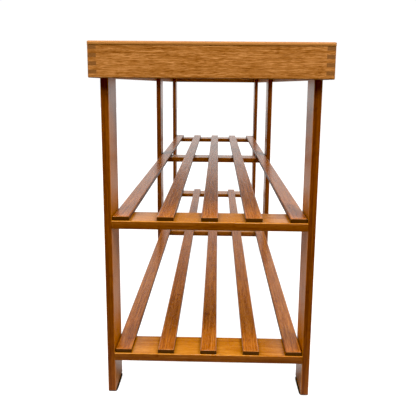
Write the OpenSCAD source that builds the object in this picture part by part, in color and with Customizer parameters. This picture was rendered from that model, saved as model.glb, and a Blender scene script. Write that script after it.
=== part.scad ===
// Entryway bench: a box-jointed seat frame on three pairs of board legs, with two slatted shoe shelves.
// X runs along the bench with the near end at +X, Y runs across it and Z is up from the floor.
// Left and right are as seen from the near end: left is -Y and right is +Y.

/* [Bench] */
// Length of the seat panel
bench_l = 1000; // [760:1:1300]
// Depth of the seat panel, front to back
bench_w = 292; // [230:1:400]
// Height of the seat above the floor
bench_h = 464; // [380:1:600]

/* [Seat] */
// Thickness of the seat panel
panel_t = 5; // [4:0.5:18]
// How far the seat panel stands out past the seat frame
panel_overhang = 0.5; // [0:0.5:15]
// Radius of the seat panel's upper edges
panel_top_r = 2.4; // [0.5:0.1:2.6]
// Radius of the seat panel's lower edges
panel_bottom_r = 1; // [0.2:0.1:1.2]
// Radius of the seat panel's corners, seen from above
panel_corner_r = 3; // [2.8:0.1:20]
// Height of the end boards and side rails
frame_h = 38; // [34:1:90]
// Thickness of the end boards and side rails
frame_t = 10.5; // [8:0.5:18]
// Number of box-joint fingers at a corner, both boards counted
finger_count = 8; // [4:2:12]
// Radius of the seat frame's upright corners
frame_corner_r = 1.2; // [0.5:0.1:3]
// Thickness of the under-seat battens, which is also that of the top rails
batten_t = 10; // [8:0.5:18]
// Width of the under-seat battens
batten_w = 44; // [30:1:70]

/* [Legs] */
// Thickness of a leg board
leg_t = 10; // [8:0.5:18]
// Width of a leg board
leg_w = 45; // [40:1:70]
// Gap between an end board and the nearest leg
leg_end_gap = 4.5; // [0:0.5:60]
// Distance of the middle pair of legs from the middle of the bench, towards the far end
middle_leg_offset = 64; // [0:1:90]
// Radius of a leg's two lower corners, seen from the side
foot_r = 2.5; // [1:0.1:6]

/* [Shelves] */
// Thickness of the cross rails that carry the slats
rail_t = 11; // [8:0.5:18]
// Width of the cross rails
rail_w = 45; // [34:1:64]
// Height of the upper shelf's rails, at their top
upper_rail_z = 241.5; // [200:0.5:300]
// Height of the lower shelf's rails, at their top
lower_rail_z = 58.5; // [30:0.5:120]
// Number of slats on a shelf
slat_count = 5; // [2:1:6]
// Width of a slat
slat_w = 21.5; // [12:0.5:28]
// Thickness of a slat
slat_t = 6; // [5:0.5:14]
// Gap between an outer slat and the legs beside it
slat_side_gap = 0.75; // [0.25:0.25:5]
// Distance of a slat's end from the outer edge of the end rail
slat_set_back = 1.2; // [0:0.1:8]
// Radius of the softened edges of legs, rails, slats and the seat frame
arris_r = 1.5; // [0.3:0.1:1.5]

/* [Foot pads] */
// Thickness of a rubber foot pad
pad_t = 2; // [1:0.5:6]
// Distance of a pad's ends from the leg's edges
pad_inset = 3; // [2:0.5:10]
// How far a pad stands out past the faces of its leg
pad_proud = 1.5; // [0:0.1:1.5]

/* [Fasteners] */
// Shank radius of the screws that hold the legs and rails
frame_screw_r = 2; // [1.5:0.1:2.4]
// Head radius of those screws
frame_head_r = 3.8; // [3:0.1:4.4]
// How far a rail screw runs into the end of a rail
rail_screw_bite = 28; // [15:1:40]
// Shank radius of the screws that hold the slats and the seat panel
slat_screw_r = 1.5; // [1:0.1:2]
// Head radius of those screws
slat_head_r = 3; // [2.4:0.1:3.8]
// Radius of the wooden dowels
dowel_r = 3; // [2:0.1:3.6]
// Length of dowel in the end of a rail or batten
dowel_bite = 15; // [8:1:25]

/* [Hidden] */
$fn = 48;

// fits
screw_fit = 0.1;       // play round a screw's shank
head_fit = 0.3;        // play round a screw's head
dowel_fit = 0.05;      // glue film round a dowel
tip_gap = 0.5;         // space left past a screw's tip or a dowel's end
merge = 1;             // overlap that makes two shapes one solid, or carries a cut past a face

// screw heads
head_t = 2;            // thickness of every head
head_sink = 0.5;       // depth of a head below the face it goes in
head_seat = head_t + head_sink;
slot_w = 1.1;          // width of the cross recess
slot_depth = 1.2;
tip_l = 3;             // length of a screw's point

// what stays uncut behind a blind hole
skin_frame = 3;
skin_slat = 2;
skin_panel = 1.5;
skin_dowel = leg_t / 2;

// seat frame
frame_l = bench_l - 2 * panel_overhang;
frame_w = bench_w - 2 * panel_overhang;
frame_top = bench_h - panel_t;
frame_bottom = frame_top - frame_h;
finger_h = frame_h / finger_count;

// legs stand against the inner faces of the side rails
leg_out_y = frame_w / 2 - frame_t;
leg_in_y = leg_out_y - leg_t;
end_leg_x = frame_l / 2 - frame_t - leg_end_gap - leg_w / 2;
leg_x = [end_leg_x, -middle_leg_offset, -end_leg_x];
leg_h = frame_top - pad_t;

// battens lie halfway between the leg pairs
batten_x = [(leg_x[0] + leg_x[1]) / 2, (leg_x[1] + leg_x[2]) / 2];

// slats
slat_l = 2 * (end_leg_x + rail_w / 2 - slat_set_back);
slat_pitch = (2 * (leg_in_y - slat_side_gap) - slat_w) / (slat_count - 1);
slat_y = [for (i = [0:slat_count - 1]) (i - (slat_count - 1) / 2) * slat_pitch];

// fastener places
pair_dx = 12;          // a screw or dowel each side of a board's centre line
leg_screw_drop = batten_t + 10;
panel_screw_y = [-leg_in_y * 0.7, 0, leg_in_y * 0.7];
leg_screw_l = leg_t - head_seat + frame_t - skin_frame;
rail_screw_l = leg_t - head_seat + rail_screw_bite;
slat_screw_l = rail_t - head_seat + slat_t - skin_slat;
panel_screw_l = batten_t - head_seat + panel_t - skin_panel;
top_rail_z = frame_top;
shelf_z = [lower_rail_z, upper_rail_z];
rung_z = [lower_rail_z - rail_t / 2, upper_rail_z - rail_t / 2, top_rail_z - batten_t / 2];

// names
ENDS = ["near", "middle", "far"];
SIDES = ["left", "right"];
SIDE_SIGN = [-1, 1];
SHELVES = ["lower", "upper"];

function leg_name(f, s) = str(ENDS[f], "_", SIDES[s], "_leg");
function pad_name(f, s) = str(ENDS[f], "_", SIDES[s], "_foot_pad");
function rail_name(f, k) = str(ENDS[f], "_", SHELVES[k], "_rail");
function top_rail_name(f) = str(ENDS[f], "_top_rail");
function slat_name(k, i) = str(SHELVES[k], "_slat_", i + 1);

// ---- shared shapes ----

// rectangle about the origin with four rounded corners
module eased_rect(w, h, r) {
    square([w - 2 * r, h], center = true);
    square([w, h - 2 * r], center = true);
    for (x = [-1, 1], y = [-1, 1])
        translate([x * (w / 2 - r), y * (h / 2 - r)]) circle(r);
}

// rectangle standing on y = 0 with its upper and lower corners rounded differently
module edge_profile(w, h, top_r, bottom_r) {
    translate([-w / 2, bottom_r]) square([w, h - top_r - bottom_r]);
    translate([-w / 2 + bottom_r, 0]) square([w - 2 * bottom_r, h - top_r]);
    translate([-w / 2 + top_r, bottom_r]) square([w - 2 * top_r, h - bottom_r]);
    for (x = [-1, 1]) {
        translate([x * (w / 2 - top_r), h - top_r]) circle(top_r);
        translate([x * (w / 2 - bottom_r), bottom_r]) circle(bottom_r);
    }
}

// rectangle standing on y = 0 with only its two lower corners rounded
module foot_profile(w, h, r) {
    translate([-w / 2, r]) square([w, h - r]);
    translate([-w / 2 + r, 0]) square([w - 2 * r, h]);
    for (x = [-1, 1]) translate([x * (w / 2 - r), r]) circle(r);
}

// extrude a drawing along X: its x becomes Y and its y becomes Z
module along_x(l) rotate([90, 0, 90]) linear_extrude(l, center = true) children();

// extrude a drawing along Y: its x becomes X and its y becomes Z
module along_y(l) rotate([90, 0, 0]) linear_extrude(l, center = true) children();

// turn something that points along +Z so that it points along +Y or -Y
module point_y(sign) rotate([-90 * sign, 0, 0]) children();

// screw with its head's underside at z = 0 and its point along +Z
module screw(r, l, head_r) {
    difference() {
        translate([0, 0, -head_t]) cylinder(h = head_t, r = head_r);
        for (a = [0, 90])
            rotate([0, 0, a]) translate([-head_r * 0.6, -slot_w / 2, -head_t - merge])
                cube([head_r * 1.2, slot_w, slot_depth + merge]);
    }
    translate([0, 0, -head_t / 4]) cylinder(h = l - tip_l + head_t / 4, r = r);
    translate([0, 0, l - tip_l]) cylinder(h = tip_l, r1 = r, r2 = r * 0.2);
}

// the room that such a screw needs, with its counterbore open below z = -head_seat
module screw_hole(r, l, head_r) {
    translate([0, 0, -head_seat - merge]) cylinder(h = head_seat + merge, r = head_r + head_fit);
    translate([0, 0, -merge]) cylinder(h = l + merge + tip_gap, r = r + screw_fit);
}

// dowel along +Z from the bottom of its blind hole at z = 0
module dowel() {
    bevel = dowel_r * 0.2;
    cylinder(h = bevel, r1 = dowel_r - bevel, r2 = dowel_r);
    translate([0, 0, bevel]) cylinder(h = dowel_bite + skin_dowel - 2 * bevel, r = dowel_r);
    translate([0, 0, dowel_bite + skin_dowel - bevel])
        cylinder(h = bevel, r1 = dowel_r, r2 = dowel_r - bevel);
}

// the blind hole for that dowel, through both boards that it joins
module dowel_hole() cylinder(h = dowel_bite + skin_dowel + tip_gap, r = dowel_r + dowel_fit);

// ---- fastener places: each puts its child at every place in turn ----

// leg screws: from a leg's inner face outwards into the side rail
module at_leg_screws()
    for (x = leg_x, s = SIDE_SIGN, dx = [-pair_dx, pair_dx])
        translate([x + dx, s * (leg_in_y + head_seat), frame_top - leg_screw_drop])
            point_y(s) children();

// rail screws: from a leg's outer face inwards into the end of a rail
module at_rail_screws()
    for (x = leg_x, s = SIDE_SIGN, z = rung_z)
        translate([x + pair_dx, s * (leg_out_y - head_seat), z]) point_y(-s) children();

// rail dowels: from the middle of a leg board inwards into the end of a rail
module at_rail_dowels()
    for (x = leg_x, s = SIDE_SIGN, z = rung_z)
        translate([x - pair_dx, s * (leg_in_y + skin_dowel), z]) point_y(-s) children();

// batten dowels: from a side rail inwards into the end of a batten
module at_batten_dowels()
    for (x = batten_x, s = SIDE_SIGN, dx = [-pair_dx, pair_dx])
        translate([x + dx, s * (leg_out_y + skin_dowel), frame_top - batten_t / 2])
            point_y(-s) children();

// panel screws: up through the top rails and battens into the seat panel
module at_panel_screws()
    for (x = concat(leg_x, batten_x), y = panel_screw_y)
        translate([x, y, frame_top - batten_t + head_seat]) children();

// slat screws: up through a shelf's rails into its slats
module at_slat_screws(rail_z)
    for (x = leg_x, y = slat_y)
        translate([x, y, rail_z - rail_t + head_seat]) children();

module leg_screw_holes() at_leg_screws() screw_hole(frame_screw_r, leg_screw_l, frame_head_r);
module rail_screw_holes() at_rail_screws() screw_hole(frame_screw_r, rail_screw_l, frame_head_r);
module panel_screw_holes() at_panel_screws() screw_hole(slat_screw_r, panel_screw_l, slat_head_r);
module slat_screw_holes(rail_z)
    at_slat_screws(rail_z) screw_hole(slat_screw_r, slat_screw_l, slat_head_r);

// ---- seat ----

module seat_panel() color("#a96c33")
    difference() {
        translate([0, 0, frame_top]) intersection() {
            along_x(bench_l) edge_profile(bench_w, panel_t, panel_top_r, panel_bottom_r);
            along_y(bench_w) edge_profile(bench_l, panel_t, panel_top_r, panel_bottom_r);
            linear_extrude(panel_t) eased_rect(bench_l, bench_w, panel_corner_r);
        }
        panel_screw_holes();
    }

// outer form of the four frame boards together, with its outside edges softened
module frame_form()
    translate([0, 0, frame_bottom]) intersection() {
        linear_extrude(frame_h) eased_rect(frame_l, frame_w, frame_corner_r);
        along_x(frame_l) foot_profile(frame_w, frame_h, arris_r);
        along_y(frame_w) foot_profile(frame_l, frame_h, arris_r);
    }

// the side rail's box-joint fingers at both ends; the top finger is the side rail's
module rail_fingers(side)
    for (i = [0:2:finger_count - 1], end = [-1, 1])
        translate([end * (frame_l - frame_t - merge) / 2, side * (frame_w - frame_t) / 2,
                   frame_top - (i + 0.5) * finger_h])
            cube([frame_t + merge, frame_t, finger_h], center = true);

// end = 1 for the near end board and -1 for the far one
module end_board(end) color("#b0713a")
    intersection() {
        frame_form();
        difference() {
            translate([end * (frame_l - frame_t) / 2, 0, frame_bottom + frame_h / 2])
                cube([frame_t, frame_w, frame_h], center = true);
            rail_fingers(-1);
            rail_fingers(1);
        }
    }

module side_rail(side) color("#a5652e")
    difference() {
        intersection() {
            frame_form();
            union() {
                translate([0, side * (frame_w - frame_t) / 2, frame_bottom + frame_h / 2])
                    cube([frame_l - 2 * frame_t, frame_t, frame_h], center = true);
                rail_fingers(side);
            }
        }
        leg_screw_holes();
        at_batten_dowels() dowel_hole();
    }

module batten(x) color("#8f5a2a")
    difference() {
        translate([x, 0, frame_top - batten_t / 2])
            along_y(2 * leg_out_y) eased_rect(batten_w, batten_t, arris_r);
        panel_screw_holes();
        at_batten_dowels() dowel_hole();
    }

module top_rail(x) color("#8f5a2a")
    difference() {
        translate([x, 0, frame_top - batten_t / 2])
            along_y(2 * leg_in_y) eased_rect(rail_w, batten_t, arris_r);
        panel_screw_holes();
        rail_screw_holes();
        at_rail_dowels() dowel_hole();
    }

// ---- legs and foot pads ----

module leg(x, side) color("#7d4411")
    difference() {
        translate([x, side * (leg_in_y + leg_t / 2), pad_t]) intersection() {
            linear_extrude(leg_h) eased_rect(leg_w, leg_t, arris_r);
            along_x(leg_w) foot_profile(leg_t, leg_h, arris_r);
            along_y(leg_t) foot_profile(leg_w, leg_h, foot_r);
        }
        leg_screw_holes();
        rail_screw_holes();
        at_rail_dowels() dowel_hole();
    }

module foot_pad(x, side) color("#141312")
    translate([x, side * (leg_in_y + leg_t / 2), 0])
        linear_extrude(pad_t)
            eased_rect(leg_w - 2 * pad_inset, leg_t + 2 * pad_proud, leg_t / 4);

// ---- shelves ----

module shelf_rail(x, rail_z) color("#a8661f")
    difference() {
        translate([x, 0, rail_z - rail_t / 2])
            along_y(2 * leg_in_y) eased_rect(rail_w, rail_t, arris_r);
        slat_screw_holes(rail_z);
        rail_screw_holes();
        at_rail_dowels() dowel_hole();
    }

module slat(y, rail_z) color("#9c6237")
    difference() {
        translate([0, y, rail_z]) intersection() {
            along_x(slat_l) edge_profile(slat_w, slat_t, arris_r, arris_r * 0.6);
            along_y(slat_w) edge_profile(slat_l, slat_t, arris_r, arris_r * 0.6);
        }
        slat_screw_holes(rail_z);
    }

// ---- fasteners ----

module leg_screws() color("#b9bbbd")
    at_leg_screws() screw(frame_screw_r, leg_screw_l, frame_head_r);
module rail_screws() color("#b9bbbd")
    at_rail_screws() screw(frame_screw_r, rail_screw_l, frame_head_r);
module panel_screws() color("#b9bbbd")
    at_panel_screws() screw(slat_screw_r, panel_screw_l, slat_head_r);
module slat_screws(rail_z) color("#b9bbbd")
    at_slat_screws(rail_z) screw(slat_screw_r, slat_screw_l, slat_head_r);
module rail_dowels() color("#d8b98a") at_rail_dowels() dowel();
module batten_dowels() color("#d8b98a") at_batten_dowels() dowel();

// ---- what is drawn ----

seat_panel();
end_board(1);  // near_end_board
end_board(-1);  // far_end_board
side_rail(-1);  // left_side_rail
side_rail(1);  // right_side_rail
batten(batten_x[0]);  // near_batten
batten(batten_x[1]);  // far_batten
for (f = [0:2])
    top_rail(leg_x[f]);
for (f = [0:2], s = [0:1])
    leg(leg_x[f], SIDE_SIGN[s]);
for (f = [0:2], k = [0:1])
    shelf_rail(leg_x[f], shelf_z[k]);
for (k = [0:1], i = [0:slat_count - 1])
    slat(slat_y[i], shelf_z[k]);
for (f = [0:2], s = [0:1])
    foot_pad(leg_x[f], SIDE_SIGN[s]);
leg_screws();
rail_screws();
rail_dowels();
batten_dowels();
panel_screws();
for (k = [0:1])
    slat_screws(shelf_z[k]);
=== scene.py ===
import math

import bpy
import numpy as np
from mathutils import Matrix, Vector


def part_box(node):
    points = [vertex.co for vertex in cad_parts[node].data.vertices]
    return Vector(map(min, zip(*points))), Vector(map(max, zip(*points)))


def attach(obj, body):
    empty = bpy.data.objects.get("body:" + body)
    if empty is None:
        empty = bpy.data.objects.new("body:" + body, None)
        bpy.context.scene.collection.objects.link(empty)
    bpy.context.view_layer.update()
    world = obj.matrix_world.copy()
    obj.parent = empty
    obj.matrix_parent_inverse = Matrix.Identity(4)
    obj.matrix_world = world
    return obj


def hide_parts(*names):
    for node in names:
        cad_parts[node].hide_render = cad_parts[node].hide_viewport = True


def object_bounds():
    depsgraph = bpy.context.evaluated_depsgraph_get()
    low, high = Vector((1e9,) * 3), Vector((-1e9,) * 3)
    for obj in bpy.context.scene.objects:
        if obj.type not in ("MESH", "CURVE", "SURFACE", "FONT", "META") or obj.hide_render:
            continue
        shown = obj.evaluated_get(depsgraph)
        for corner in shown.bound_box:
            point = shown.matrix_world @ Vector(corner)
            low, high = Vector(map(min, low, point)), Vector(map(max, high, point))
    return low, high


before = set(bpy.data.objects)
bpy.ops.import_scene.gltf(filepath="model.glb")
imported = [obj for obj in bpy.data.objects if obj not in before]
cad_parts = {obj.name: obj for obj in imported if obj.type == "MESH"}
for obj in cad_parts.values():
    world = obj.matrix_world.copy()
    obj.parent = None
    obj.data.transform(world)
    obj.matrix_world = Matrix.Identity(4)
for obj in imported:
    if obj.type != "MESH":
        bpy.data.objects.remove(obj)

cadBox = [list(corner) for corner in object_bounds()]
lowCorner, highCorner = (Vector(corner) for corner in cadBox)
print("frame loaded:", len(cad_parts), "nodes")


# one socket of a node tree; sums and products of wires add Math nodes
class Wire:
    def __init__(self, tree, socket=None):
        self.tree = tree
        self.socket = socket

    # adds a node: its settings go in first, then the values or wires of its sockets
    def node(self, kind, settings=None, sockets=None, output=0):
        made = self.tree.nodes.new("ShaderNode" + kind)
        for name, value in (settings or {}).items():
            if name == "stops":
                fillRamp(made.color_ramp, value)
            else:
                setattr(made, name, value)
        for name, value in (sockets or {}).items():
            if isinstance(value, Wire):
                self.tree.links.new(value.socket, made.inputs[name])
            else:
                made.inputs[name].default_value = value
        return Wire(self.tree, made.outputs[output]) if made.outputs else None

    def maths(self, operation, *values):
        return self.node("Math", {"operation": operation}, dict(enumerate(values)))

    def __add__(self, other):
        return self.maths("ADD", self, other)

    def __radd__(self, other):
        return self.maths("ADD", other, self)

    def __sub__(self, other):
        return self.maths("SUBTRACT", self, other)

    def __rsub__(self, other):
        return self.maths("SUBTRACT", other, self)

    def __mul__(self, other):
        return self.maths("MULTIPLY", self, other)

    def __rmul__(self, other):
        return self.maths("MULTIPLY", other, self)

    def __truediv__(self, other):
        return self.maths("DIVIDE", self, other)

    def __rtruediv__(self, other):
        return self.maths("DIVIDE", other, self)

    def __abs__(self):
        return self.maths("ABSOLUTE", self)

    def floor(self):
        return self.maths("FLOOR", self)

    def fraction(self):
        return self.maths("FRACT", self)

    def least(self, other):
        return self.maths("MINIMUM", self, other)

    def most(self, other):
        return self.maths("MAXIMUM", self, other)

    # 0 up to low, 1 past high and a smooth rise between them
    def rise(self, low, high):
        return self.node("MapRange", {"interpolation_type": "SMOOTHSTEP"},
                         {"Value": self, "From Min": low, "From Max": high})

    # the three parts of a vector
    def parts(self):
        first = self.node("SeparateXYZ", None, {0: self})
        return [Wire(self.tree, output) for output in first.socket.node.outputs]

    def vector(self, x, y, z):
        return self.node("CombineXYZ", None, {0: x, 1: y, 2: z})

    # smooth noise from 0 to 1 at a vector
    def noise(self, detail=2.0, roughness=0.5, scale=1.0):
        return self.node("TexNoise", None, {"Vector": self, "Scale": scale, "Detail": detail,
                                            "Roughness": roughness})

    # a random number from 0 to 1 for each different vector
    def chance(self):
        return self.node("TexWhiteNoise", None, {"Vector": self})

    # this colour or vector mixed towards another
    def towards(self, other, factor):
        return self.node("Mix", {"data_type": "RGBA"}, {0: factor, 6: self, 7: other}, 2)

    # a colour times a number
    def shaded(self, factor):
        return self.node("VectorMath", {"operation": "SCALE"}, {0: self, "Scale": factor})

    # a colour times a colour
    def tinted(self, tint):
        return self.node("VectorMath", {"operation": "MULTIPLY"}, {0: self, 1: tint})


def fillRamp(ramp, stops):
    while len(ramp.elements) < len(stops):
        ramp.elements.new(0.5)
    for element, (place, colour) in zip(ramp.elements, stops):
        element.position = place
        element.color = (*colour, 1.0)


# a new material with only its output, and a wire to build from
def newMaterial(name):
    material = bpy.data.materials.new(name)
    material.use_nodes = True
    material.node_tree.nodes.clear()
    return material, Wire(material.node_tree)


# closes a material with one principled shader
def closeMaterial(start, sockets):
    shader = start.node("BsdfPrincipled", None, sockets)
    start.node("OutputMaterial", None, {"Surface": shader})


# a mix of two plain colours, from the first at 0 to the second at 1
def blend(factor, first, second):
    return factor.node("Mix", {"data_type": "RGBA"}, {0: factor, 6: (*first, 1), 7: (*second, 1)}, 2)


# puts one material on every slot of a piece
def paint(piece, material):
    piece.data.materials.clear()
    piece.data.materials.append(material)


# stained laminated bamboo; axes are 0 for X, 1 for Y and 2 for Z: along the grain, across the
# board and through it
bambooLook = {
    "stripWidth": 0.0195,     # width of one glued strip
    "jointShare": 0.009,      # share of a strip that its dark glue line takes
    "knuckleGap": 0.235,      # distance between the cane's knuckles along a strip
    "knuckleReach": 0.0034,   # half length of a knuckle's dark band
    "streakLength": 0.070,    # long streaks of darker fibre
    "streakWidth": 0.0016,
    "dashLength": 0.0095,     # short dark and pale dashes
    "dashWidth": 0.00062,
    "poreLength": 0.004,      # fine dark pores
    "poreWidth": 0.00025,
    "cloudSize": 0.07,        # size of the stain's uneven patches
    "paintedEdgeReach": 0.0016,      # how far the change at an edge reaches on to a face
    "wanderReach": 0.0032,    # how far the grain strays sideways
    "bundleScale": 1900.0,    # bundles of fibre across a metre of cut end
    "bundleShade": 0.22,
    "lowerBandStart": -0.0009,     # from the panel's middle down, its edge turns darker
    "lowerBandEnd": 0.0003,
    "lowerBandWaver": 0.0028,
    "ior": 1.33,
    "coatRoughness": 0.2,
    "reliefStrength": 0.22,
    "reliefDepth": 0.00025,
}

# how much each thing adds to the depth of the stain, which runs from 0 to 1
stainWeights = {
    "dashes": 0.56, "clouds": 0.45, "strips": 0.10, "pores": 0.3, "knuckles": 0.34, "glue": 0.22,
}

# edgeTint colours a board's narrow faces and endShade its cut ends; the edge weight below 0
# paints a pale highlight along a board's edges, and above 0 darkens them, as on the legs
boardKinds = {
    "seat": {
        "axes": (0, 1, 2), "layers": 1, "dashes": 0.8, "streaks": 1.0, "twoToneEdge": True,
        "pale": (0.44, 0.19, 0.050), "middle": (0.34, 0.128, 0.022), "deep": (0.19, 0.056, 0.006),
        "edgeTint": (1.0, 1.0, 1.0), "endShade": 1.0, "paintedEdgeLight": -0.05,
        "roughness": 0.52, "coat": 0.0,
    },
    "frame": {
        "axes": (1, 2, 0), "layers": 1, "dashes": 0.68, "streaks": 1.25, "twoToneEdge": False,
        "pale": (0.55, 0.24, 0.072), "middle": (0.33, 0.118, 0.021), "deep": (0.17, 0.047, 0.004),
        "edgeTint": (0.64, 0.58, 0.5), "endShade": 0.62, "paintedEdgeLight": -0.1,
        "roughness": 0.38, "coat": 0.12,
    },
    "batten": {
        "axes": (1, 0, 2), "layers": 2, "dashes": 0.6, "streaks": 1.2, "twoToneEdge": False,
        "pale": (0.42, 0.15, 0.025), "middle": (0.30, 0.090, 0.010), "deep": (0.16, 0.040, 0.003),
        "edgeTint": (0.55, 0.45, 0.4), "endShade": 0.4, "paintedEdgeLight": 0.0,
        "roughness": 0.42, "coat": 0.1,
    },
    "leg": {
        "axes": (2, 0, 1), "layers": 2, "dashes": 0.35, "streaks": 1.4, "twoToneEdge": False,
        "pale": (0.46, 0.155, 0.012), "middle": (0.32, 0.092, 0.003), "deep": (0.17, 0.036, 0.001),
        "edgeTint": (0.50, 0.37, 0.2), "endShade": 0.4, "paintedEdgeLight": 0.2,
        "roughness": 0.30, "coat": 0.35,
    },
    "rail": {
        "axes": (1, 0, 2), "layers": 2, "dashes": 0.4, "streaks": 1.5, "twoToneEdge": False,
        "pale": (0.50, 0.205, 0.030), "middle": (0.37, 0.125, 0.008), "deep": (0.22, 0.056, 0.002),
        "edgeTint": (0.50, 0.39, 0.4), "endShade": 0.4, "paintedEdgeLight": -0.3,
        "roughness": 0.20, "coat": 0.1,
    },
    "slat": {
        "axes": (0, 1, 2), "layers": 1, "dashes": 0.45, "streaks": 2.0, "twoToneEdge": False,
        "pale": (0.46, 0.165, 0.025), "middle": (0.29, 0.080, 0.006), "deep": (0.14, 0.030, 0.002),
        "edgeTint": (0.40, 0.36, 0.35), "endShade": 0.20, "paintedEdgeLight": -0.15,
        "roughness": 0.24, "coat": 0.08,
    },
}

# where the first knuckle of a board lies, for the boards that show theirs most
firstKnuckle = {"near_end_board": 0.125}


# the distance from a surface point of a block to the block's nearest edge is the middle
# one of its three distances to the block's faces
def edgeDistance(place, half):
    gaps = [half[i] - abs(place[i]) for i in range(3)]
    return gaps[0].least(gaps[1]).most(gaps[0].most(gaps[1]).least(gaps[2]))


# the stain's colour from its depth: pale, middle and deep
def stainColour(depth, board):
    stops = [(0.06, board["pale"]), (0.5, board["middle"]), (0.94, board["deep"])]
    return depth.node("ValToRGB", {"stops": stops}, {"Fac": depth})


def bambooMaterial(name, kind, seed, axes=None):
    look = bambooLook
    weights = stainWeights
    board = boardKinds[kind]
    low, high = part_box(name)
    centre = (low + high) / 2
    half = (high - low) / 2
    material, start = newMaterial("stainedBamboo_" + name)
    alongAxis, wideAxis, thinAxis = axes or board["axes"]

    # centre the pattern on the board, and name its three directions
    objectPlace = start.node("TexCoord", None, None, "Object")
    centred = start.node("Mapping", None, {"Vector": objectPlace, "Location": -centre})
    place = centred.parts()
    along, wide, thin = place[alongAxis], place[wideAxis], place[thinAxis]
    facing = [abs(part) for part in start.node("TexCoord", None, None, "Normal").parts()]
    narrowFace = facing[wideAxis].rise(0.74, 0.95)
    endFace = facing[alongAxis].rise(0.74, 0.95)

    # strips across the board, staggered from layer to layer, each with its own random numbers
    layer = (thin * (board["layers"] / (2 * half[thinAxis])) + board["layers"] / 2).floor()
    stripCount = max(1, round(2 * half[wideAxis] / look["stripWidth"]))
    stripWidth = 2 * half[wideAxis] / stripCount
    stripPlace = (wide + half[wideAxis]) / stripWidth + layer * 0.5
    stripNumber = stripPlace.floor()
    luck = start.vector(stripNumber + seed, layer * 3.7, seed * 0.13).chance()
    luckAgain = start.vector(stripNumber * 1.7, layer + seed, 4.2).chance()
    stripMiddle = abs(stripPlace.fraction() - 0.5)
    glueLine = stripMiddle.rise(0.5 - look["jointShare"] * 1.6, 0.5)

    # the grain wanders a little, so the streaks are not ruled lines
    wander = start.vector(along * 5.0 + seed, wide * 20.0, thin * 20.0 + luck * 9.0).noise(2.0)
    drift = (wander - 0.5) * look["wanderReach"]
    shift = luck * 37.0 + seed * 3.1

    # noise stretched along the grain: a length along it and a width across it
    def fibre(length, width, detail, roughness, offset=0.0):
        return start.vector(along / length + shift + offset, (wide + drift) / width,
                            (thin + drift) / width).noise(detail, roughness)

    streaks = fibre(look["streakLength"], look["streakWidth"], 3.0, 0.62)
    darkDashes = fibre(look["dashLength"], look["dashWidth"], 2.0, 0.6).rise(0.50, 0.62)
    paleDashes = fibre(look["dashLength"] * 1.4, look["dashWidth"] * 0.9, 2.0, 0.6, 51.0)
    paleDashes = paleDashes.rise(0.50, 0.62)
    pores = fibre(look["poreLength"], look["poreWidth"], 1.0, 0.5).rise(0.60, 0.72)
    cloud = start.vector(along / (look["cloudSize"] * 2.4) + seed, wide / look["cloudSize"],
                         thin / look["cloudSize"]).noise(2.0, 0.5)

    # knuckles of the cane: a ragged dark mark across a strip, fainter on some strips
    ragged = (start.vector(along * 160.0, wide * 420.0, thin * 420.0 + shift).noise(3.0) - 0.5) * 0.016
    first = firstKnuckle.get(name)
    knucklePlace = luckAgain if first is None else 0.5 - first / look["knuckleGap"] - stripNumber * 0.4
    knucklePlace = (along / look["knuckleGap"] + knucklePlace).fraction()
    knuckleDistance = abs((knucklePlace - 0.5) * look["knuckleGap"] + ragged)
    knuckle = (1 - knuckleDistance.rise(0.0, look["knuckleReach"])) * (0.25 + luck * 0.75)

    # stain depth from 0, pale, to 1, deep
    dashes = (darkDashes - paleDashes) * (weights["dashes"] * board["dashes"])
    stain = (0.5 + (streaks - 0.5) * board["streaks"] + dashes + (cloud - 0.5) * weights["clouds"]
             + (luck - 0.5) * weights["strips"] + pores * weights["pores"]
             + knuckle * weights["knuckles"] + glueLine * weights["glue"])
    edge = edgeDistance(place, half)
    # painted light along the edges: a pale painted highlight on the arrises of most boards; on the
    # legs the edges are darkened instead
    paintedEdgeNoise = start.vector(place[0] * 60.0, place[1] * 60.0, place[2] * 60.0 + seed).noise(3.0, 0.6)
    paintedEdgeMask = (1 - edge.rise(0.0, look["paintedEdgeReach"])) * paintedEdgeNoise.rise(0.30, 0.62)
    stain = stain + paintedEdgeMask * board["paintedEdgeLight"]
    colour = stainColour(stain, board)
    colour = colour.towards(colour.tinted(board["edgeTint"]), narrowFace)

    # cut ends drink more stain and show the cane's bundles as dots
    bundles = start.node("TexVoronoi", {"feature": "F1"},
                         {"Vector": start.vector(0.0, wide, thin), "Scale": look["bundleScale"]})
    dots = 1 - bundles.rise(0.18, 0.42)
    if board["twoToneEdge"]:
        # the panel's edge: paler at the top and darker towards its underside, with a wavering line
        # between
        waver = start.vector(place[0] * 45.0, place[1] * 45.0, 0.5).noise(3.0, 0.6) - 0.5
        lowerBand = 1 - (thin + waver * look["lowerBandWaver"]).rise(look["lowerBandStart"], look["lowerBandEnd"])
        edgeBandStreaks = start.vector(place[0] * 160.0, place[1] * 160.0, thin * 1400.0).noise(2.0, 0.6)
        edgeBandDepth = 0.30 + lowerBand * 0.26 + (edgeBandStreaks - 0.5) * 0.5
        colour = colour.towards(stainColour(edgeBandDepth, board), narrowFace.most(endFace))
    else:
        cut = colour.towards((*board["middle"], 1), 0.75)
        cut = cut.shaded(board["endShade"] * (1 - dots * look["bundleShade"]))
        colour = colour.towards(cut, endFace)

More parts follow.
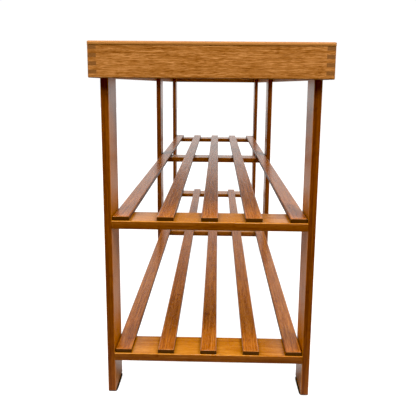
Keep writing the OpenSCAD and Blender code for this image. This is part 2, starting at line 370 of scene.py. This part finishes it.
    # lacquer: a little rougher in the pores and along the edges
    roughness = (board["roughness"] + (cloud - 0.5) * 0.08 + pores * 0.08 + paintedEdgeMask * 0.05
                 + endFace * 0.2 + narrowFace * 0.2 + (streaks - 0.5) * 0.06)
    coat = board["coat"] and board["coat"] * (1 - narrowFace.most(endFace) * 0.9)
    relief = (streaks * 0.5 + darkDashes * 0.3 - pores * 0.8 + knuckle * 0.5 - glueLine * 1.2
              - dots * endFace * 0.6)
    bumps = start.node("Bump", None, {"Height": relief, "Strength": look["reliefStrength"],
                                      "Distance": look["reliefDepth"]})
    closeMaterial(start, {
        "Base Color": colour, "Roughness": roughness, "Normal": bumps, "Coat Weight": coat,
        "Coat Roughness": look["coatRoughness"], "IOR": look["ior"],
    })
    return material


# which kind of board each node is, by the words in its name
def boardKindOf(name):
    if name == "seat_panel":
        return "seat", None
    if name.endswith("end_board"):
        return "frame", None
    if name.endswith("side_rail"):
        return "frame", (0, 2, 1)
    for word, kind in (("batten", "batten"), ("top_rail", "batten"), ("leg", "leg"),
                       ("rail", "rail"), ("slat", "slat")):
        if name.endswith(word) or "_" + word + "_" in name:
            return kind, None
    return None, None


fastenerWords = ("screws", "dowels")
boards = [n for n in sorted(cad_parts)
          if not n.endswith(fastenerWords) and not n.endswith("foot_pad")]
for number, name in enumerate(boards):
    kind, axes = boardKindOf(name)
    paint(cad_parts[name], bambooMaterial(name, kind, number + 1.0, axes))
print("boards stained and lacquered:", len(boards))


rubberLook = {"colour": (0.012, 0.0115, 0.011), "dusty": (0.045, 0.042, 0.038), "roughness": 0.62}


def rubberMaterial():
    material, start = newMaterial("padRubber")
    place = start.node("TexCoord", None, None, "Object")
    grit = place.noise(3.0, 0.6, 900.0)
    dust = place.noise(3.0, 0.55, 70.0).rise(0.5, 0.75)
    colour = blend(dust * 0.5, rubberLook["colour"], rubberLook["dusty"])
    bumps = start.node("Bump", None, {"Height": grit, "Strength": 0.3, "Distance": 0.0002})
    roughness = rubberLook["roughness"] + (grit - 0.5) * 0.2
    closeMaterial(start, {"Base Color": colour, "Roughness": roughness, "Normal": bumps})
    return material


steelLook = {"bright": (0.62, 0.62, 0.61), "dull": (0.36, 0.355, 0.34), "roughness": 0.3}


def steelMaterial():
    material, start = newMaterial("screwSteel")
    place = start.node("TexCoord", None, None, "Object")
    bloom = place.noise(3.0, 0.6, 420.0).rise(0.35, 0.7)
    scratches = place.noise(2.0, 0.7, 2600.0)
    colour = blend(bloom, steelLook["bright"], steelLook["dull"])
    bumps = start.node("Bump", None, {"Height": scratches, "Strength": 0.15, "Distance": 0.0001})
    roughness = steelLook["roughness"] + bloom * 0.18
    closeMaterial(start, {"Base Color": colour, "Metallic": 1.0, "Roughness": roughness,
                          "Normal": bumps})
    return material


dowelLook = {"pale": (0.66, 0.45, 0.25), "dark": (0.45, 0.27, 0.13)}


def dowelMaterial():
    material, start = newMaterial("dowelBeech")
    x, y, z = start.node("TexCoord", None, None, "Object").parts()
    flecks = start.vector(x * 2400.0, y * 160.0, z * 2400.0).noise(2.0, 0.6)
    colour = blend(flecks.rise(0.35, 0.75), dowelLook["pale"], dowelLook["dark"])
    bumps = start.node("Bump", None, {"Height": flecks, "Strength": 0.2, "Distance": 0.0002})
    closeMaterial(start, {"Base Color": colour, "Roughness": 0.6 + flecks * 0.1, "Normal": bumps})
    return material


rubber, steel, beech = rubberMaterial(), steelMaterial(), dowelMaterial()
for name in ("rail_dowels", "batten_dowels"):
    paint(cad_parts[name], beech)
print("rubber, steel and beech mixed")


# closed pieces from rings of points (copies, rings, points round a ring, xyz): quads run from
# ring to ring, and the first and last ring of each copy close on their own centre
def ringPiece(name, rings, material, nodes):
    copies, rows, around, _ = rings.shape
    centres = rings[:, [0, -1]].mean(axis=2)
    points = np.concatenate([rings.reshape(copies, -1, 3), centres], axis=1)
    number = np.arange(rows * around).reshape(rows, around)
    ahead = np.roll(number, -1, axis=1)
    quads = np.stack([number[:-1], ahead[:-1], ahead[1:], number[1:]], axis=-1).reshape(-1, 4)
    first = np.full(around, rows * around)
    fans = np.concatenate([np.stack([first, ahead[0], number[0]], axis=-1),
                           np.stack([first + 1, number[-1], ahead[-1]], axis=-1)])
    # turn every face the other way when the first copy's signed volume comes out negative
    a, b, c = (points[0][fans[:, i]] for i in range(3))
    e, f, g, h = (points[0][quads[:, i]] for i in range(4))
    volume = (np.cross(a, b) * c).sum() + (np.cross(e, f) * g).sum() + (np.cross(e, g) * h).sum()
    if volume < 0:
        quads, fans = quads[:, ::-1], fans[:, ::-1]
    steps = np.arange(copies)[:, None, None] * points.shape[1]
    faces = (quads + steps).reshape(-1, 4).tolist() + (fans + steps).reshape(-1, 3).tolist()
    mesh = bpy.data.meshes.new(name)
    mesh.from_pydata(points.reshape(-1, 3).tolist(), [], faces)
    mesh.shade_smooth()
    piece = bpy.data.objects.new(name, mesh)
    bpy.context.scene.collection.objects.link(piece)
    paint(piece, material)
    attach(piece, "root")
    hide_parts(*nodes)


padLook = {
    "squareness": 7.0,        # 2 is an oval and larger is nearer a rectangle
    "bottomRound": 0.0006,    # radius of the lower edge
    "topRound": 0.0003,       # radius of the upper edge
    "around": 96,             # points round the outline
}


# a foot pad: an outline |x/a|^n + |y/b|^n = 1, drawn in and raised round two quarter circles
def padRings(low, high, look):
    turn = np.linspace(0, 2 * np.pi, look["around"], endpoint=False)
    power = 2 / look["squareness"]
    across = np.sign(np.cos(turn)) * np.abs(np.cos(turn)) ** power
    deep = np.sign(np.sin(turn)) * np.abs(np.sin(turn)) ** power
    bend = np.linspace(0, np.pi / 2, 6)
    bottom, top = look["bottomRound"], look["topRound"]
    inset = np.concatenate([bottom * (1 - np.sin(bend)), top * (1 - np.cos(bend))])[:, None]
    height = np.concatenate([bottom * (1 - np.cos(bend)), high.z - low.z - top * (1 - np.sin(bend))])
    centre, half = (low + high) / 2, (high - low) / 2
    x = centre.x + (half.x - inset) * across
    y = centre.y + (half.y - inset) * deep
    z = low.z + height[:, None] + 0 * x
    return np.stack([x, y, z], axis=-1)[None]


pads = [n for n in sorted(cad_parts) if n.endswith("foot_pad")]
for name in pads:
    ringPiece(name + "_moulded", padRings(*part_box(name), padLook), rubber, [name])
print("foot pads moulded:", len(pads))


screwLook = {
    "frameShank": 0.002,     # radii of the screws in legs and rails
    "frameHead": 0.0038,
    "slatShank": 0.0015,     # radii of the screws in slats and the seat panel
    "slatHead": 0.003,
    "headThick": 0.002,
    "headDome": 0.00035,     # how much higher the middle of a head is than its rim
    "rimRound": 0.00035,     # radius of a head's edge
    "recessDepth": 0.0011,
    "recessWidth": 0.0010,
    "recessReach": 0.58,     # half length of the cross as a share of the head's radius
    "collar": 0.0022,        # plain shank under the head
    "point": 0.003,          # length of the tapered tip
    "pitch": 0.40,           # thread pitch as a share of the shank's diameter
    "threadDepth": 0.24,     # as a share of the shank's radius
    "around": 32,
    "seat": 0.0025,          # depth of a head's underside below the face it goes in
    "pairGap": 0.012,        # a screw's distance from its board's centre line
    "railBite": 0.028,       # how far a rail's screw goes into its end
    "panelSpread": 0.7,      # outer panel screws, as a share of the legs' inner distance
}


# a screw along +Z from its head's underside at 0: the head is a shallow dome with a soft-edged
# cross sunk in it; the thread is the shank's radius less a saw tooth of (height / pitch - turn)
def screwRings(shank, head, length, look):
    turn = np.linspace(0, 2 * np.pi, look["around"], endpoint=False)[None, :]
    rim, thick = look["rimRound"], look["headThick"]
    reach = np.linspace(0.04, 1, 14)[:, None] * (head - rim)
    x, y = reach * np.cos(turn), reach * np.sin(turn)

    def bar(a, b):
        inside = np.clip((look["recessWidth"] / 2 - np.abs(a)) / 0.00025 + 0.5, 0, 1)
        return inside * np.clip((look["recessReach"] * head - np.abs(b)) / 0.0003 + 0.5, 0, 1)

    cross = np.maximum(bar(x, y), bar(y, x))
    dome = look["headDome"] * (reach / head) ** 2
    faceZ = -thick + dome + cross * look["recessDepth"]
    bend = np.linspace(0.2, np.pi / 2, 4)[:, None]
    rimReach = head - rim * (1 - np.sin(bend))
    rimZ = -thick + look["headDome"] + rim * (1 - np.cos(bend))
    under = np.array([[head, -0.0001], [head - 0.0001, 0.0], [shank, 0.0]])
    pitch = look["pitch"] * 2 * shank
    threadEnd = length - look["point"]
    rows = int(max(8, round((length - look["collar"]) / pitch * 6)))    # six rings to a turn
    z = np.linspace(look["collar"], length - 0.0001, rows)[:, None]
    saw = np.abs((z / pitch - turn / (2 * np.pi)) % 1 - 0.5) * 2
    taper = np.clip((length - z) / (length - threadEnd), 0.06, 1)
    fade = np.clip((z - look["collar"]) / pitch, 0, 1)
    radius = shank * taper * (1 - look["threadDepth"] * fade * saw)
    reaches = [reach + 0 * turn, rimReach + 0 * turn, under[:, :1] + 0 * turn, radius]
    heights = [faceZ, rimZ + 0 * turn, under[:, 1:] + 0 * turn, z + 0 * turn]
    reach, z = np.concatenate(reaches), np.concatenate(heights)
    return np.stack([reach * np.cos(turn), reach * np.sin(turn), z], axis=-1)


# copies of a screw at (start, way), with the way it points along one axis of the frame
def placedScrews(rings, places):
    copies = []
    for start, way in places:
        way = Vector(way)
        side = Vector((1, 0, 0))
        axes = np.array([side, way.cross(side), way])
        copies.append(rings @ axes + np.array(start))
    return np.stack(copies)


# the middle of a node's box
def middle(name):
    low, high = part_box(name)
    return (low + high) / 2


# where each group of screws starts and points, with its shank, head and length
def screwGroups(look):
    shank, head = look["frameShank"], look["frameHead"]
    legLow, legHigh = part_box("near_left_leg")
    legInner = min(abs(legLow.y), abs(legHigh.y))
    legThick = legHigh.y - legLow.y
    legPlaces, railPlaces, panelPlaces = [], [], []
    for leg in [n for n in sorted(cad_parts) if n.endswith("_leg")]:
        end, x = leg.split("_")[0], middle(leg).x
        side = math.copysign(1, middle(leg).y)
        fromInside = side * (legInner + look["seat"])
        fromOutside = side * (legInner + legThick - look["seat"])
        for gap in (-look["pairGap"], look["pairGap"]):
            legPlaces.append(((x + gap, fromInside, middle("leg_screws").z), (0, side, 0)))
        for rail in ("lower_rail", "upper_rail", "top_rail"):
            height = middle(end + "_" + rail).z
            railPlaces.append(((x + look["pairGap"], fromOutside, height), (0, -side, 0)))
    for cross in ("near_top_rail", "middle_top_rail", "far_top_rail", "near_batten", "far_batten"):
        spread = look["panelSpread"] * legInner
        for y in (-spread, 0, spread):
            panelPlaces.append(((middle(cross).x, y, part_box(cross)[0].z + look["seat"]), (0, 0, 1)))
    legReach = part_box("leg_screws")[1].y - legInner - look["seat"]
    railReach = legThick - look["seat"] + look["railBite"]
    groups = [("leg_screws", legPlaces, shank, head, legReach),
              ("rail_screws", railPlaces, shank, head, railReach)]
    upright = [("panel_screws", panelPlaces)]
    for shelf in ("lower", "upper"):
        places = [((middle(end + "_" + shelf + "_rail").x, middle(shelf + "_slat_" + str(i)).y,
                    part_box(end + "_" + shelf + "_rail")[0].z + look["seat"]), (0, 0, 1))
                  for end in ("near", "middle", "far") for i in range(1, 6)]
        upright.append((shelf + "_slat_screws", places))
    for name, places in upright:
        low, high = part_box(name)
        length = high.z - low.z - look["headThick"]
        groups.append((name, places, look["slatShank"], look["slatHead"], length))
    return groups


for name, places, shank, head, length in screwGroups(screwLook):
    rings = placedScrews(screwRings(shank, head, length, screwLook), places)
    ringPiece(name + "_threaded", rings, steel, [name])
    print(name, "turned:", len(places))


cameraLook = {
    "lens": 40.36,        # focal length in mm on a 36 mm sensor
    "ahead": 0.5562,      # distance in front of the near end
    "across": 0.0087,
    "height": 0.4148,
    "pitch": 0.1604,      # downward tilt, in radians
    "yaw": -0.0199,
    "roll": 0.0088,
    "shiftUp": -0.1166,
}


def makeCamera(look):
    data = bpy.data.cameras.new("viewCamera")
    data.lens = look["lens"]
    data.sensor_width = 36.0
    data.shift_y = look["shiftUp"]
    camera = bpy.data.objects.new("viewCamera", data)
    bpy.context.scene.collection.objects.link(camera)
    # level camera looking along -X, then turned, tipped down and rolled
    turn = (Matrix.Rotation(math.pi / 2 - look["yaw"], 3, "Z")
            @ Matrix.Rotation(math.pi / 2 - look["pitch"], 3, "X")
            @ Matrix.Rotation(look["roll"], 3, "Z"))
    camera.matrix_world = Matrix.Translation(
        (highCorner.x + look["ahead"], look["across"], look["height"])) @ turn.to_4x4()
    bpy.context.scene.camera = camera


makeCamera(cameraLook)
print("camera placed")


studioLook = {
    "floorSize": 14.0,
    "paleFloor": (0.68, 0.68, 0.68),    # under and behind the bench
    "greyFloor": (0.15, 0.15, 0.15),    # in front of its near end
    "floorGlow": 0.92,
    "boxTurn": 48.0,        # degrees that each soft box stands to the side of the near end
    "boxElevation": 45.0,   # degrees above it
    "boxDistance": 2.3,
    "boxSize": 1.1,
    "leftPower": 44.0,
    "rightPower": 54.0,
    "topPower": 13.0,       # a smaller soft box overhead
    "topSize": 0.35,
    "topElevation": 74.0,
    "backdrop": 0.95,       # brightness behind and beside the bench
    "room": 0.0,            # brightness of the room in front of it
}


def makeFloor(look):
    half = look["floorSize"] / 2
    mesh = bpy.data.meshes.new("studioFloor")
    mesh.from_pydata([(-half, -half, 0), (half, -half, 0), (half, half, 0), (-half, half, 0)], [],
                     [(0, 1, 2, 3)])
    floor = bpy.data.objects.new("studioFloor", mesh)
    bpy.context.scene.collection.objects.link(floor)
    material, start = newMaterial("studioFloor")
    x, y, z = start.node("TexCoord", None, None, "Object").parts()
    tone = blend(x.rise(0.35, 0.65), look["paleFloor"], look["greyFloor"])
    paper = start.node("BsdfDiffuse", None, {"Color": tone})
    glow = start.node("Emission", None, {"Strength": look["floorGlow"]})
    thinPaper = start.node("BsdfDiffuse", None, {"Color": (0.3, 0.3, 0.3, 1)})
    seen = start.node("AddShader", None, {0: glow, 1: thinPaper})
    ray = start.node("LightPath", None, None, "Is Camera Ray")
    surface = start.node("MixShader", None, {0: ray, 1: paper, 2: seen})
    start.node("OutputMaterial", None, {"Surface": surface})
    paint(floor, material)


def makeWorld(look):
    world = bpy.data.worlds.new("studioWorld")
    bpy.context.scene.world = world
    world.use_nodes = True
    world.node_tree.nodes.clear()
    start = Wire(world.node_tree)
    x, y, z = start.node("TexCoord", None, None, "Generated").parts()
    front = x.rise(0.2, 0.6)
    brightness = look["backdrop"] + front * (look["room"] - look["backdrop"])
    ray = start.node("LightPath", None, None, "Is Camera Ray")
    strength = brightness + ray * (1.0 - brightness)
    surface = start.node("Background", None, {"Color": (1, 1, 1, 1), "Strength": strength})
    start.node("OutputWorld", None, {"Surface": surface})


# a square lamp that looks at the near half of the bench
def makeSoftBox(name, turn, elevation, distance, size, power):
    data = bpy.data.lights.new(name, "AREA")
    data.energy = power
    data.size = size
    lamp = bpy.data.objects.new(name, data)
    bpy.context.scene.collection.objects.link(lamp)
    turn, elevation = math.radians(turn), math.radians(elevation)
    away = Vector((math.cos(elevation) * math.cos(turn), math.cos(elevation) * math.sin(turn),
                   math.sin(elevation)))
    lamp.location = Vector((highCorner.x * 0.6, 0, highCorner.z * 0.6)) + away * distance
    lamp.rotation_euler = away.to_track_quat("Z", "Y").to_euler()


gradeLook = {
    "black": (0.004, 0.006, 0.010),    # red, green and blue that show as black
    "white": 0.97,                     # brightness that shows as white
}


# plain colours, with a little contrast
def setGrade(look):
    view = bpy.context.scene.view_settings
    view.view_transform = "Standard"
    view.use_curve_mapping = True
    view.curve_mapping.black_level = look["black"]
    view.curve_mapping.white_level = (look["white"],) * 3
    view.curve_mapping.update()


makeFloor(studioLook)
makeWorld(studioLook)
look = studioLook
for name, turn, elevation, size, power in (
        ("leftSoftBox", -look["boxTurn"], look["boxElevation"], look["boxSize"], look["leftPower"]),
        ("rightSoftBox", look["boxTurn"], look["boxElevation"], look["boxSize"], look["rightPower"]),
        ("topSoftBox", 0.0, look["topElevation"], look["topSize"], look["topPower"])):
    makeSoftBox(name, turn, elevation, look["boxDistance"], size, power)
setGrade(gradeLook)
print("floor and lights placed")
